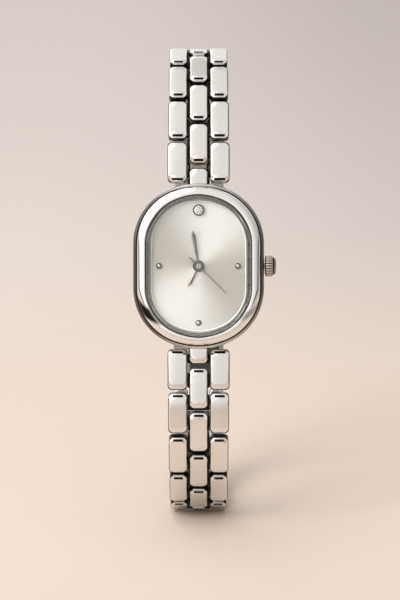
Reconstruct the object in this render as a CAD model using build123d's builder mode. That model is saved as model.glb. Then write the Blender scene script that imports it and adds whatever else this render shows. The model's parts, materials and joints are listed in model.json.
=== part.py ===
"""Oval watch on a link bracelet, standing on its closed bracelet loop.

Millimetres. +Z is up, +X is the crown side and the dial looks towards -Y, leaning back.
The origin is on the table, under the middle of the watch's width and depth.
"""

import os
from math import atan2, cos, degrees, hypot, radians, sin, sqrt

from build123d import *

os.makedirs("parts", exist_ok=True)

# Case outline: straight sides, corner arcs and end arcs that meet in tangents
case_width = 21.0
case_height = 26.66
corner_round_share = 0.4571
end_round_share = 0.5638

# Case stack, measured along the dial's normal with the dial's face at zero
case_thick = 3.3
case_top = -0.6
back_thick = 0.7
bezel_top = 1.95
dial_thick = 0.4
dial_ring_height = 1.15
crystal_thick = 1.0
case_edge = 0.15
back_edge = 0.35

# Insets from the case outline
bezel_inset = 0.42
seat_inset = 1.7
gasket_width = 0.17
cavity_inset = 2.25
opening_inset = 3.05
back_inset = 0.6
rim_outer_inset = 1.75
rim_inner_inset = 2.17
groove_inset = 0.95
groove_width = 0.5
holder_wall = 1.58

# Case details
bezel_round = 0.85
bezel_inner_edge = 0.12
lip_width = 0.35
lip_height = 0.4
rim_height = 0.48
groove_depth = 0.35
crystal_edge = 0.3
ring_chamfer = 0.45
fit_gap = 0.05
snug_gap = 0.01
face_gap = 0.03

# Bracelet, whose outer links narrow evenly from the case to the clasp
bracelet_width = 10.0
centre_width = 3.0
column_gap = 0.32
link_length = 6.55
half_pitch = 3.5
centre_shift = 0.45
link_thick = 2.0
link_corner = 0.7
link_bevel = 0.4
end_slope_run = 0.9
end_slope_drop = 0.4
boss_length = 2.4
boss_height = 1.5
pin_radius = 0.45
pin_short = 0.05
bore_gap = 0.05
pivot_overhang = 1.57
pivot_depth = 2.6
lug_overhang = 0.85
lug_round = 0.3

# Bend at each pivot towards the wrist, in degrees, counted from the case
upper_bend_angles = [9, 4, 8, 6, 11, 11, 16, 17, 17, 17, 16, 14, 12, 9, 6, 4, 3]
lower_bend_angles = [2, 0, 5, 8, 12, 10, 11, 13, 17, 17, 6, 6, 17, 17, 16, 12, 8]
lean = 12.0

# Dial furniture
ball_radius = 0.5
ball_setback_side = 4.2
ball_setback_low = 4.23
ball_foot_radius = 0.2
stone_setback = 4.4
collar_radius = 0.93
collar_bore = 0.7
collar_height = 0.55
stone_radius = 0.68
stone_girdle = 0.42
stone_crown = 0.22
stone_pavilion = 0.38
stone_facets = 8
stone_crown_slope = 40.0
stone_pavilion_slope = 42.0
dial_hole_radius = 0.8

# Hands, with each angle measured clockwise from twelve o'clock
hour_angle = 207.9
minute_angle = -9.7
seconds_angle = 134.2
hour_length_share = 0.5007
minute_length_share = 0.7718
seconds_length_share = 0.8295
seconds_tail_share = 0.2765
hand_width = 0.62
hand_neck = 0.25
hour_widest_share = 0.8
minute_widest_share = 0.86
hour_hub_radius = 0.93
minute_hub_radius = 0.72
seconds_cap_radius = 0.4
seconds_width = 0.14
hand_thick = 0.15
seconds_thick = 0.1
hour_level = 0.3
minute_level = 0.6
seconds_level = 0.88

# Movement
movement_thick = 3.1
works_depth = 1.0
works_gap = 0.1
gear_module = 0.12
cannon_teeth = 10
minute_wheel_teeth = 30
pinion_teeth = 8
hour_wheel_teeth = 32
tooth_share = 0.36
tooth_tip_share = 0.22
addendum_share = 0.85
dedendum_share = 1.2
wheel_thick = 0.25
arbor_radius = 0.12
tube_wall = 0.11
tube_top = 0.5
post_radius = 0.18
battery_radius = 3.4
battery_thick = 2.1
battery_wall = 0.2
battery_proud = 0.12
battery_edge = 0.25
coil_setback = 3.85
coil_radius = 0.9
coil_length = 6.0
coil_flange = 0.4
coil_core_length = 8.4
coil_core_height = 0.7
coil_core_width = 1.6

# Crown and stem
crown_radius = 1.7
crown_gap = 0.15
grip_length = 1.3
cap_length = 0.5
cap_radius = 1.4
cap_round = 0.4
flute_count = 24
flute_radius = 0.13
stem_radius = 0.45
stem_start = 2.8
stem_hold = 1.2

# Clasp, whose length between its end pivots follows from the bracelet
clasp_width = 8.6
flange_gap = 0.1
leaf_thick = 0.7
leaf_gap = 0.3
clasp_bow = 1.2
hinge_inset = 3.0
knuckle_radius = 0.85
knuckle_width = 4.0
clasp_pin_radius = 0.35
leaf_setback = 1.3
cover_end_gap = 2.0
latch_gap = 0.3
tongue_top = 0.2
flange_width = 0.6
flange_drop = 0.75

half_width = case_width / 2
half_height = case_height / 2
corner_radius = case_width * corner_round_share
end_radius = case_width * end_round_share
end_centre = half_height - end_radius
corner_x = half_width - corner_radius
corner_y = end_centre + sqrt((end_radius - corner_radius) ** 2 - corner_x**2)
corner_turn = atan2(corner_y - end_centre, corner_x)

case_bottom = case_top - case_thick
back_bottom = case_bottom - back_thick
cavity_bottom = -dial_thick - movement_thick
stem_level = case_top - case_thick / 2
crystal_inset = seat_inset + gasket_width
column_face = centre_width / 2 + column_gap - face_gap
first_pivot = half_height + pivot_overhang
ball_reach_side = half_width - ball_setback_side
ball_reach_low = half_height - ball_setback_low
stone_reach = half_height - stone_setback
hand_room = half_width - opening_inset
hour_length = hand_room * hour_length_share
minute_length = hand_room * minute_length_share
seconds_length = hand_room * seconds_length_share
seconds_tail = hand_room * seconds_tail_share
movement_inset = cavity_inset + fit_gap + holder_wall
battery_drop = half_height - movement_inset - battery_wall - battery_radius
coil_rise = half_height - movement_inset - coil_setback
base_width = clasp_width - 2 * (flange_width + flange_gap)
crown_reach = crown_gap + grip_length + cap_length
through = case_width


def chain(bend_angles, side):
    """Pivot points and headings of one half of the bracelet, in the dial's frame."""
    points = [(side * first_pivot, -pivot_depth)]
    turns = []
    turn = 0.0
    for angle in bend_angles:
        turn += angle
        y, z = points[-1]
        step_y = side * half_pitch * cos(radians(turn))
        step_z = -half_pitch * sin(radians(turn))
        points.append((y + step_y, z + step_z))
        turns.append(turn)
    return points, turns


upper_points, upper_turns = chain(upper_bend_angles, 1)
lower_points, lower_turns = chain(lower_bend_angles, -1)
clasp_start = upper_points[-1]
clasp_end = lower_points[-1]
clasp_length = hypot(clasp_end[0] - clasp_start[0], clasp_end[1] - clasp_start[1])
clasp_turn = degrees(atan2(clasp_start[1] - clasp_end[1], clasp_end[0] - clasp_start[0]))


def leaned(y, z):
    """Turn a point of the dial's frame into depth and height above the dial's centre."""
    depth = y * sin(radians(lean)) - z * cos(radians(lean))
    height = y * cos(radians(lean)) + z * sin(radians(lean))
    return depth, height


def outer_skin():
    """Depth and height of the points that can stand furthest out of the watch."""
    reach = link_length / 2
    skin = []
    for side, points, turns in ((1, upper_points, upper_turns), (-1, lower_points, lower_turns)):
        for start, stop, turn in zip(points, points[1:], turns):
            along = (side * cos(radians(turn)), -sin(radians(turn)))
            out = (side * sin(radians(turn)), cos(radians(turn)))
            middle = ((start[0] + stop[0]) / 2, (start[1] + stop[1]) / 2)
            for run in (reach - end_slope_run, end_slope_run - reach):
                y = middle[0] + along[0] * run + out[0] * link_thick / 2
                z = middle[1] + along[1] * run + out[1] * link_thick / 2
                skin.append(leaned(y, z))
    skin.append(leaned(bezel_inset - half_height, bezel_top - bezel_round))
    middle = ((clasp_start[0] + clasp_end[0]) / 2, (clasp_start[1] + clasp_end[1]) / 2)
    rise = leaf_gap / 2 + leaf_thick + clasp_bow
    y = middle[0] + sin(radians(clasp_turn)) * rise
    z = middle[1] + cos(radians(clasp_turn)) * rise
    skin.append(leaned(y, z))
    return skin


skin_points = outer_skin()
depths = [point[0] for point in skin_points]
heights = [point[1] for point in skin_points]
head = Plane(
    origin=(-crown_reach / 2, -(min(depths) + max(depths)) / 2, -min(heights)),
    x_dir=(1, 0, 0),
    z_dir=(0, -cos(radians(lean)), sin(radians(lean))),
)
head_axis = Axis(head.origin, head.z_dir)


def station(y, z, turn, side):
    """Plane at a point of the dial's frame, its normal turned to face out of the loop."""
    normal = head.z_dir * cos(radians(turn)) + head.y_dir * (side * sin(radians(turn)))
    return Plane(origin=head.from_local_coords((0, y, z)), x_dir=(1, 0, 0), z_dir=normal)


def side_plane(base, x):
    """Plane square to the width, where sketches are drawn in the base's y and z."""
    return Plane(origin=base.origin + base.x_dir * x, x_dir=base.y_dir, z_dir=base.x_dir)


def keep(piece, name):
    """Label a finished piece and write it."""
    piece.part.label = name
    export_step(piece.part, f"parts/{name}.step")


def oval(inset, mode=Mode.ADD):
    """The case outline moved inwards, as a face."""
    side = half_width - inset
    radius = corner_radius - inset
    bend = (
        corner_x + radius * cos(corner_turn / 2),
        corner_y + radius * sin(corner_turn / 2),
    )
    join = (
        (end_radius - inset) * cos(corner_turn),
        end_centre + (end_radius - inset) * sin(corner_turn),
    )
    with BuildLine() as outline:
        Line((side, 0), (side, corner_y))
        ThreePointArc((side, corner_y), bend, join)
        RadiusArc((0, half_height - inset), join, end_radius - inset)
        mirror(about=Plane.YZ)
        mirror(about=Plane.XZ)
    make_face(outline.edges(), mode=mode)


def slab(inset, bottom, top, mode=Mode.ADD):
    """A plate with the case outline, between two levels."""
    with BuildSketch(head.offset(bottom)) as profile:
        oval(inset)
    extrude(profile.sketch, amount=top - bottom, mode=mode)


def hoop(outer, inner, bottom, top, mode=Mode.ADD):
    """A ring with the case outline, between two insets and two levels."""
    with BuildSketch(head.offset(bottom)) as profile:
        oval(outer)
        oval(inner, mode=Mode.SUBTRACT)
    extrude(profile.sketch, amount=top - bottom, mode=mode)


def disc(centre, radius, bottom, top, mode=Mode.ADD):
    """A round post or hole along the dial's normal."""
    with BuildSketch(head.offset(bottom)) as profile:
        with Locations(centre):
            Circle(radius)
    extrude(profile.sketch, amount=top - bottom, mode=mode)


def level_faces(piece, level):
    """Flat faces of the piece that lie at one level."""
    faces = piece.faces().filter_by(head_axis)
    wanted = [f for f in faces if abs(head.to_local_coords(f.center()).Z - level) < snug_gap]
    return ShapeList(wanted)


def level_edges(piece, level):
    """Edges of the flat faces of the piece that lie at one level."""
    return level_faces(piece, level).edges()


def cross_bar(base, spots, radius, start, length, mode=Mode.ADD):
    """Round bars or bores across the width, at places in the base's y and z."""
    with BuildSketch(side_plane(base, start)) as profile:
        with Locations(*spots):
            Circle(radius)
    extrude(profile.sketch, amount=length, mode=mode)


def boss(base, pivot_y, pivot_z):
    """A round boss across the pivot that spaces a lug from the links beside it."""
    cross_bar(base, [(pivot_y, pivot_z)], boss_height / 2, -column_face, 2 * column_face)


def end_lug(base, pivot_y, pivot_z, root_y, root_bottom, root_top):
    """A lug that ends round its pivot, with a boss on each side, between two outer links."""
    with BuildSketch(side_plane(base, -centre_width / 2)) as profile:
        with Locations((pivot_y, pivot_z)):
            Circle(link_thick / 2)
        with BuildLine():
            Polyline(
                (pivot_y, pivot_z - link_thick / 2),
                (pivot_y, pivot_z + link_thick / 2),
                (root_y, root_top),
                (root_y, root_bottom),
                close=True,
            )
        make_face()
    extrude(profile.sketch, amount=centre_width)
    boss(base, pivot_y, pivot_z)


def case_lug(side):
    """A lug of the case: half of a centre link, from the case wall to past the first pivot."""
    root = half_height - seat_inset
    reach = first_pivot + lug_overhang - root
    with BuildPart(mode=Mode.PRIVATE) as lug:
        with BuildSketch(head.offset(-pivot_depth - link_thick / 2)):
            with Locations((0, side * (root + reach / 2))):
                Rectangle(centre_width, reach)
        extrude(amount=link_thick)
        tip = lug.faces().sort_by(Axis(head.origin, head.y_dir))[-1 if side > 0 else 0]
        upright = tip.edges().filter_by(head_axis)
        fillet(upright, lug_round)
        top = lug.faces().filter_by(head_axis).sort_by(head_axis)[-1]
        outline = top.edges().sort_by(Axis(head.origin, head.y_dir * side))
        chamfer(outline[1:], lug_round / 2)
        boss(head, side * first_pivot, -pivot_depth)
    add(lug.part)


# Case middle: the ring that holds everything, with a lug at each end for the bracelet
with BuildPart() as case_middle:
    slab(0, case_bottom, case_top)
    chamfer(case_middle.faces().filter_by(head_axis).edges(), case_edge)
    hoop(seat_inset + lip_width, cavity_inset, case_top, case_top + lip_height)
    for side in (1, -1):
        case_lug(side)
        cross_bar(
            head,
            [(side * first_pivot, -pivot_depth)],
            pin_radius + bore_gap,
            -half_width,
            case_width,
            mode=Mode.SUBTRACT,
        )
    slab(cavity_inset, case_bottom, case_top + lip_height, mode=Mode.SUBTRACT)
    slab(rim_outer_inset - fit_gap, case_bottom, case_bottom + rim_height + fit_gap, mode=Mode.SUBTRACT)
    hoop(
        groove_inset,
        groove_inset + groove_width,
        case_bottom,
        case_bottom + groove_depth,
        mode=Mode.SUBTRACT,
    )
    cross_bar(head, [(0, stem_level)], stem_radius + bore_gap, 0, through, mode=Mode.SUBTRACT)
keep(case_middle, "case_middle")

# Bezel: the rounded ring that frames and holds the crystal
with BuildPart() as bezel:
    slab(bezel_inset, case_top, bezel_top)
    fillet(level_edges(bezel, bezel_top), bezel_round)
    slab(seat_inset, dial_ring_height, bezel_top, mode=Mode.SUBTRACT)
    slab(cavity_inset, case_top, bezel_top, mode=Mode.SUBTRACT)
    hoop(
        seat_inset + lip_width - fit_gap,
        cavity_inset,
        case_top,
        case_top + lip_height + fit_gap,
        mode=Mode.SUBTRACT,
    )
keep(bezel, "bezel")

with BuildPart() as crystal:
    slab(crystal_inset, dial_ring_height, dial_ring_height + crystal_thick)
    chamfer(level_edges(crystal, dial_ring_height + crystal_thick), crystal_edge)
keep(crystal, "crystal")

with BuildPart() as crystal_gasket:
    hoop(seat_inset + snug_gap, crystal_inset - snug_gap, dial_ring_height, bezel_top - bezel_inner_edge)
keep(crystal_gasket, "crystal_gasket")

# Dial ring: the sloped inner wall between the crystal and the dial
with BuildPart() as dial_ring:
    hoop(cavity_inset + fit_gap, opening_inset, 0, dial_ring_height)
    top_face = level_faces(dial_ring, dial_ring_height)[0]
    chamfer(top_face.inner_wires()[0].edges(), ring_chamfer)
keep(dial_ring, "dial_ring")

ball_spots = [(ball_reach_side, 0), (-ball_reach_side, 0), (0, -ball_reach_low)]

with BuildPart() as dial:
    slab(cavity_inset + fit_gap, -dial_thick, 0)
    disc((0, 0), dial_hole_radius, -dial_thick, 0, mode=Mode.SUBTRACT)
    for spot in ball_spots:
        disc(spot, ball_foot_radius + snug_gap, -dial_thick, 0, mode=Mode.SUBTRACT)
keep(dial, "dial")

# Ball markers: half balls on the dial, each with a foot through it
with BuildPart() as ball_markers:
    for spot in ball_spots:
        centre = head.from_local_coords((spot[0], spot[1], 0))
        with BuildSketch(Plane(origin=centre, x_dir=head.x_dir, z_dir=-head.y_dir)):
            with BuildLine():
                Line((0, -dial_thick), (0, ball_radius))
                RadiusArc((0, ball_radius), (ball_radius, 0), ball_radius)
                Polyline(
                    (ball_radius, 0),
                    (ball_foot_radius, 0),
                    (ball_foot_radius, -dial_thick),
                    (0, -dial_thick),
                )
            make_face()
        revolve(axis=Axis(centre, head.z_dir))
keep(ball_markers, "ball_markers")

with BuildPart() as stone_collar:
    disc((0, stone_reach), collar_radius, 0, collar_height)
    chamfer(level_edges(stone_collar, collar_height), (collar_radius - collar_bore) / 3)
    disc((0, stone_reach), collar_bore, 0, collar_height, mode=Mode.SUBTRACT)
keep(stone_collar, "stone_collar")

with BuildPart() as dial_stone:
    with BuildSketch(head.offset(stone_girdle)) as girdle:
        with Locations((0, stone_reach)):
            RegularPolygon(stone_radius, stone_facets)
    extrude(amount=stone_crown, taper=stone_crown_slope)
    extrude(girdle.sketch, amount=-stone_pavilion, taper=stone_pavilion_slope)
keep(dial_stone, "dial_stone")


def lance(length, widest_share):
    """A hand that widens from a narrow neck towards its tip and then comes to a point."""
    widest = length * widest_share
    Polygon(
        (-hand_neck / 2, 0),
        (hand_neck / 2, 0),
        (hand_width / 2, widest),
        (0, length),
        (-hand_width / 2, widest),
        align=None,
    )


def turned(level, angle):
    """The dial's plane at one level, turned clockwise as seen from the front."""
    across = head.x_dir * cos(radians(angle)) - head.y_dir * sin(radians(angle))
    return Plane(origin=head.offset(level).origin, x_dir=across, z_dir=head.z_dir)


# Motion work radii, all worked out from the teeth
cannon_pitch = gear_module * cannon_teeth / 2
minute_wheel_pitch = gear_module * minute_wheel_teeth / 2
wheel_distance = cannon_pitch + minute_wheel_pitch
tube_bore = arbor_radius + bore_gap
tube_radius = tube_bore + tube_wall
cannon_bore = tube_radius + bore_gap
cannon_radius = cannon_bore + tube_wall
pipe_bore = cannon_radius + bore_gap
pipe_radius = pipe_bore + tube_wall
works_floor = -dial_thick - works_depth
lower_wheel_level = works_floor + works_gap
upper_wheel_level = lower_wheel_level + wheel_thick + 2 * works_gap
pinion_top = upper_wheel_level + wheel_thick + works_gap


def toothed(teeth, phase):
    """A small toothed wheel, drawn at the current place of the sketch."""
    pitch = gear_module * teeth / 2
    root = pitch - gear_module * dedendum_share
    tip = pitch + gear_module * addendum_share
    circular_pitch = radians(360 / teeth) * pitch
    base_half = circular_pitch * tooth_share / 2
    tip_half = circular_pitch * tooth_tip_share / 2
    Circle(root)
    with PolarLocations(root, teeth, start_angle=phase):
        Polygon(
            (-root / 3, -base_half),
            (tip - root, -tip_half),
            (tip - root, tip_half),
            (-root / 3, base_half),
            align=None,
        )


def wheel_tip(teeth):
    """Radius over the tips of a toothed wheel."""
    return gear_module * (teeth / 2 + addendum_share)


with BuildPart() as hour_hand:
    with BuildSketch(turned(hour_level, hour_angle)):
        Circle(hour_hub_radius)
        lance(hour_length, hour_widest_share)
        Circle(pipe_radius + snug_gap, mode=Mode.SUBTRACT)
    extrude(amount=hand_thick)
keep(hour_hand, "hour_hand")

with BuildPart() as minute_hand:
    with BuildSketch(turned(minute_level, minute_angle)):
        Circle(minute_hub_radius)
        lance(minute_length, minute_widest_share)
        Circle(cannon_radius + snug_gap, mode=Mode.SUBTRACT)
    extrude(amount=hand_thick)
keep(minute_hand, "minute_hand")

# Seconds hand, one piece with the thin arbor that turns it
with BuildPart() as seconds_hand:
    with BuildSketch(turned(seconds_level, seconds_angle)):
        Circle(seconds_cap_radius)
        with Locations((0, (seconds_length - seconds_tail) / 2)):
            Rectangle(seconds_width, seconds_length + seconds_tail)
    extrude(amount=seconds_thick)
    disc((0, 0), arbor_radius, cavity_bottom + works_depth / 2, seconds_level)
keep(seconds_hand, "seconds_hand")

with BuildPart() as hour_wheel:
    with BuildSketch(head.offset(upper_wheel_level)):
        toothed(hour_wheel_teeth, 180 / hour_wheel_teeth)
    extrude(amount=wheel_thick)
    disc((0, 0), pipe_radius, upper_wheel_level, hour_level + hand_thick)
    disc((0, 0), pipe_bore, upper_wheel_level, hour_level + hand_thick, mode=Mode.SUBTRACT)
keep(hour_wheel, "hour_wheel")

with BuildPart() as cannon_pinion:
    with BuildSketch(head.offset(lower_wheel_level)):
        toothed(cannon_teeth, 0)
    extrude(amount=wheel_thick)
    disc((0, 0), cannon_radius, lower_wheel_level, minute_level + hand_thick)
    disc((0, 0), cannon_bore, lower_wheel_level, minute_level + hand_thick, mode=Mode.SUBTRACT)
keep(cannon_pinion, "cannon_pinion")

# Minute wheel with its pinion, which turns the hour wheel at a twelfth of the minute's rate
wheel_spot = (0, wheel_distance)
with BuildPart() as minute_wheel:
    with BuildSketch(head.offset(lower_wheel_level)):
        with Locations(wheel_spot):
            toothed(minute_wheel_teeth, 180 / minute_wheel_teeth)
    extrude(amount=wheel_thick)
    with BuildSketch(head.offset(lower_wheel_level)):
        with Locations(wheel_spot):
            toothed(pinion_teeth, 0)
    extrude(amount=pinion_top - lower_wheel_level)
    disc(wheel_spot, post_radius + bore_gap, lower_wheel_level, pinion_top, mode=Mode.SUBTRACT)
keep(minute_wheel, "minute_wheel")

# Movement plate: carries the motion work in front, and the battery and coil behind
coil_level = cavity_bottom + coil_radius + fit_gap
with BuildPart() as movement_plate:
    slab(movement_inset + fit_gap, cavity_bottom, -dial_thick)
    disc((0, 0), wheel_tip(hour_wheel_teeth) + works_gap, works_floor, -dial_thick, mode=Mode.SUBTRACT)
    disc(wheel_spot, wheel_tip(minute_wheel_teeth) + works_gap, works_floor, -dial_thick, mode=Mode.SUBTRACT)
    disc((0, 0), tube_radius, works_floor, tube_top)
    disc((0, 0), tube_bore, cavity_bottom, tube_top, mode=Mode.SUBTRACT)
    disc(wheel_spot, post_radius, works_floor, pinion_top)
    disc(
        (0, -battery_drop),
        battery_radius + fit_gap,
        cavity_bottom,
        cavity_bottom + battery_thick - battery_proud + fit_gap,
        mode=Mode.SUBTRACT,
    )
    with BuildSketch(head.offset(cavity_bottom)):
        with Locations((0, coil_rise)):
            Rectangle(coil_core_length + 2 * fit_gap, 2 * (coil_radius + works_gap))
    extrude(amount=2 * (coil_radius + fit_gap), mode=Mode.SUBTRACT)
    cross_bar(
        head,
        [(0, stem_level)],
        stem_radius + bore_gap,
        stem_start - works_gap,
        through,
        mode=Mode.SUBTRACT,
    )
keep(movement_plate, "movement_plate")

with BuildPart() as movement_holder:
    hoop(cavity_inset + fit_gap, movement_inset, case_bottom + fit_gap, -dial_thick)
    cross_bar(head, [(0, stem_level)], stem_radius + bore_gap, 0, through, mode=Mode.SUBTRACT)
keep(movement_holder, "movement_holder")

with BuildPart() as battery:
    battery_bottom = cavity_bottom - battery_proud
    disc((0, -battery_drop), battery_radius, battery_bottom, battery_bottom + battery_thick)
    chamfer(battery.faces().filter_by(head_axis).edges(), battery_edge)
keep(battery, "battery")

# Coil: the winding on its core, whose ends lie in the movement plate
with BuildPart() as coil:
    cross_bar(head, [(coil_rise, coil_level)], coil_radius, -coil_length / 2, coil_length)
    with BuildSketch(side_plane(head, -coil_core_length / 2)):
        with Locations((coil_rise, coil_level)):
            Rectangle(coil_core_width, coil_core_height)
    extrude(amount=coil_core_length)
    for start in (-coil_length / 2 - coil_flange, coil_length / 2):
        with BuildSketch(side_plane(head, start)):
            with Locations((coil_rise, coil_level)):
                Rectangle(2 * coil_radius, 2 * coil_radius)
        extrude(amount=coil_flange)
keep(coil, "coil")

with BuildPart() as case_back:
    slab(back_inset, back_bottom, case_bottom)
    chamfer(level_edges(case_back, back_bottom), back_edge)
    hoop(rim_outer_inset, rim_inner_inset, case_bottom, case_bottom + rim_height)
keep(case_back, "case_back")

with BuildPart() as back_gasket:
    hoop(
        groove_inset + face_gap,
        groove_inset + groove_width - face_gap,
        case_bottom,
        case_bottom + groove_depth - face_gap,
    )
keep(back_gasket, "back_gasket")

# Crown: fluted grip with a domed cap, bored for the stem
crown_start = half_width + crown_gap
with BuildPart() as crown:
    with BuildSketch(side_plane(head, crown_start)):
        with Locations((0, stem_level)):
            Circle(crown_radius)
            with PolarLocations(crown_radius, flute_count):
                Circle(flute_radius, mode=Mode.SUBTRACT)
    extrude(amount=grip_length)
    with BuildSketch(side_plane(head, crown_start + grip_length)):
        with Locations((0, stem_level)):
            Circle(cap_radius)
    extrude(amount=cap_length)
    cap_edge = crown.faces().sort_by(Axis(head.origin, head.x_dir))[-1].edges()
    fillet(cap_edge, cap_round)
    cross_bar(
        head,
        [(0, stem_level)],
        stem_radius + bore_gap,
        crown_start,
        stem_hold + bore_gap,
        mode=Mode.SUBTRACT,
    )
keep(crown, "crown")

with BuildPart() as winding_stem:
    stem_length = crown_start + stem_hold - stem_start
    cross_bar(head, [(0, stem_level)], stem_radius, stem_start, stem_length)
keep(winding_stem, "winding_stem")


def slope_ends(base):
    """Cut the outer face of the links at hand so that it slopes down to both ends."""
    half_length = link_length / 2
    half_thick = link_thick / 2
    with BuildSketch(side_plane(base, -bracelet_width / 2)) as profile:
        Polygon(
            (-half_length, -half_thick),
            (half_length, -half_thick),
            (half_length, half_thick - end_slope_drop),
            (half_length - end_slope_run, half_thick),
            (end_slope_run - half_length, half_thick),
            (-half_length, half_thick - end_slope_drop),
            align=None,
        )
    extrude(profile.sketch, amount=bracelet_width, mode=Mode.INTERSECT)


def outer_links(base, width, name):
    """A pair of outer links with the two pins that are pressed through them."""
    link_width = (width - centre_width) / 2 - column_gap
    reach = (width - link_width) / 2
    with BuildPart() as pair:
        with BuildSketch(base):
            with Locations((-reach, 0), (reach, 0)):
                RectangleRounded(link_width, link_length, link_corner)
        extrude(amount=link_thick / 2, both=True)
        flats = pair.faces().filter_by(Axis(base.origin, base.z_dir))
        chamfer(flats.edges(), link_bevel)
        slope_ends(base)
        spots = [(-half_pitch / 2, 0), (half_pitch / 2, 0)]
        cross_bar(base, spots, pin_radius + snug_gap, -width / 2, width, mode=Mode.SUBTRACT)
        pin_length = width - 2 * pin_short
        cross_bar(base, spots, pin_radius, -pin_length / 2, pin_length)
    keep(pair, name)


def centre_link(base, side, name):
    """A centre link, set nearer the case than its pivots, with bosses beside the outer links."""
    shift = base.y_dir * (side * centre_shift)
    body = Plane(origin=base.origin - shift, x_dir=base.x_dir, z_dir=base.z_dir)
    with BuildPart() as link:
        with BuildSketch(body):
            RectangleRounded(centre_width, link_length, link_corner)
        extrude(amount=link_thick / 2, both=True)
        flats = link.faces().filter_by(Axis(body.origin, body.z_dir))
        chamfer(flats.edges(), link_bevel)
        slope_ends(body)
        spots = [(-half_pitch / 2, 0), (half_pitch / 2, 0)]
        with BuildSketch(side_plane(base, -column_face)) as bosses:
            with Locations(*spots):
                SlotOverall(boss_length, boss_height)
        extrude(bosses.sketch, amount=2 * column_face)
        cross_bar(
            base,
            spots,
            pin_radius + bore_gap,
            -column_face,
            2 * column_face,
            mode=Mode.SUBTRACT,
        )
    keep(link, name)


# Bracelet: outer pairs and centre links by turns, from the case to the clasp
for half, side, points, turns in (
    ("upper", 1, upper_points, upper_turns),
    ("lower", -1, lower_points, lower_turns),
):
    for index, turn in enumerate(turns):
        start, stop = points[index], points[index + 1]
        base = station((start[0] + stop[0]) / 2, (start[1] + stop[1]) / 2, turn, side)
        if index % 2 == 0:
            share = index / (len(turns) - 1)
            width = bracelet_width + (clasp_width - bracelet_width) * share
            outer_links(base, width, f"{half}_{index + 1:02d}_outer_links")
        else:
            centre_link(base, side, f"{half}_{index + 1:02d}_centre_link")

# Clasp frame: y runs from the upper half's last pin to the lower half's last pin
clasp = station(
    (clasp_start[0] + clasp_end[0]) / 2,
    (clasp_start[1] + clasp_end[1]) / 2,
    clasp_turn,
    1,
)
clasp_head = -clasp_length / 2
clasp_foot = clasp_length / 2
hinge_y = clasp_head + hinge_inset
leaf_start = hinge_y + leaf_setback
leaf_stop = clasp_foot - cover_end_gap


def leaf(width, start, stop, low, high, offset=0.0, mode=Mode.ADD):
    """A gently bowed strip between two levels, across part of the clasp's width."""
    middle = (start + stop) / 2
    with BuildSketch(side_plane(clasp, offset - width / 2)) as profile:
        with BuildLine():
            ThreePointArc((start, low), (middle, low + clasp_bow), (stop, low))
            Line((stop, low), (stop, high))
            ThreePointArc((stop, high), (middle, high + clasp_bow), (start, high))
            Line((start, high), (start, low))
        make_face()
    extrude(profile.sketch, amount=width, mode=mode)


def block(width, start, stop, low, high, offset=0.0, mode=Mode.ADD):
    """A straight bar between two levels, across part of the clasp's width."""
    with BuildSketch(side_plane(clasp, offset - width / 2)) as profile:
        with Locations(((start + stop) / 2, (low + high) / 2)):
            Rectangle(stop - start, high - low)
    extrude(profile.sketch, amount=width, mode=mode)


base_low = -leaf_gap / 2 - leaf_thick
cover_low = leaf_gap / 2
cover_high = cover_low + leaf_thick

with BuildPart() as clasp_base:
    leaf(base_width, leaf_start, leaf_stop, base_low, -leaf_gap / 2)
    end_lug(clasp, clasp_head, 0, hinge_y - knuckle_radius, base_low, tongue_top)
    block(centre_width, clasp_head, hinge_y, base_low, tongue_top)
    cross_bar(clasp, [(hinge_y, 0)], knuckle_radius, -knuckle_width / 2, knuckle_width)
    block(knuckle_width, hinge_y, leaf_start + leaf_thick, base_low, -leaf_gap / 2)
    latch_end = clasp_foot - pin_radius - latch_gap
    block(centre_width, leaf_stop - leaf_thick, latch_end, base_low, -leaf_gap / 2)
    block(centre_width, leaf_stop + leaf_gap, latch_end, base_low, tongue_top)
    bore = pin_radius + bore_gap
    cross_bar(clasp, [(clasp_head, 0)], bore, -clasp_width / 2, clasp_width, mode=Mode.SUBTRACT)
    bore = clasp_pin_radius + snug_gap
    cross_bar(clasp, [(hinge_y, 0)], bore, -clasp_width / 2, clasp_width, mode=Mode.SUBTRACT)
keep(clasp_base, "clasp_base")

ear_width = (clasp_width - knuckle_width) / 2 - face_gap
ear_offset = (clasp_width - ear_width) / 2
with BuildPart() as clasp_cover:
    leaf(clasp_width, leaf_start, leaf_stop, cover_low, cover_high)
    for offset in (-ear_offset, ear_offset):
        cross_bar(clasp, [(hinge_y, 0)], knuckle_radius, offset - ear_width / 2, ear_width)
        block(ear_width, hinge_y, leaf_start + leaf_thick, cover_low, cover_high, offset)
    flange_reach = (clasp_width - flange_width) / 2
    for offset in (-flange_reach, flange_reach):
        leaf(flange_width, leaf_start, leaf_stop, cover_low - flange_drop, cover_high, offset)
    bore = clasp_pin_radius + bore_gap
    cross_bar(clasp, [(hinge_y, 0)], bore, -clasp_width / 2, clasp_width, mode=Mode.SUBTRACT)
keep(clasp_cover, "clasp_cover")

with BuildPart() as clasp_pin:
    clasp_pin_length = clasp_width - 2 * pin_short
    cross_bar(clasp, [(hinge_y, 0)], clasp_pin_radius, -clasp_pin_length / 2, clasp_pin_length)
keep(clasp_pin, "clasp_pin")

print(f"Clasp length {clasp_length:.2f} mm, dial centre at {head.origin}")
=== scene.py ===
"""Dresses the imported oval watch: finer shapes, finishes, a pale floor, soft light and the camera.

Shapes are written in millimetres, each in the frame of what carries it: the dial or a link. Those
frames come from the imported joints. Blender's own lengths are metres.
"""

import json
from collections import namedtuple
from math import atan2, cos, hypot, radians, sin, sqrt, tau

import bmesh
import bpy
from mathutils import Matrix, Vector


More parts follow.
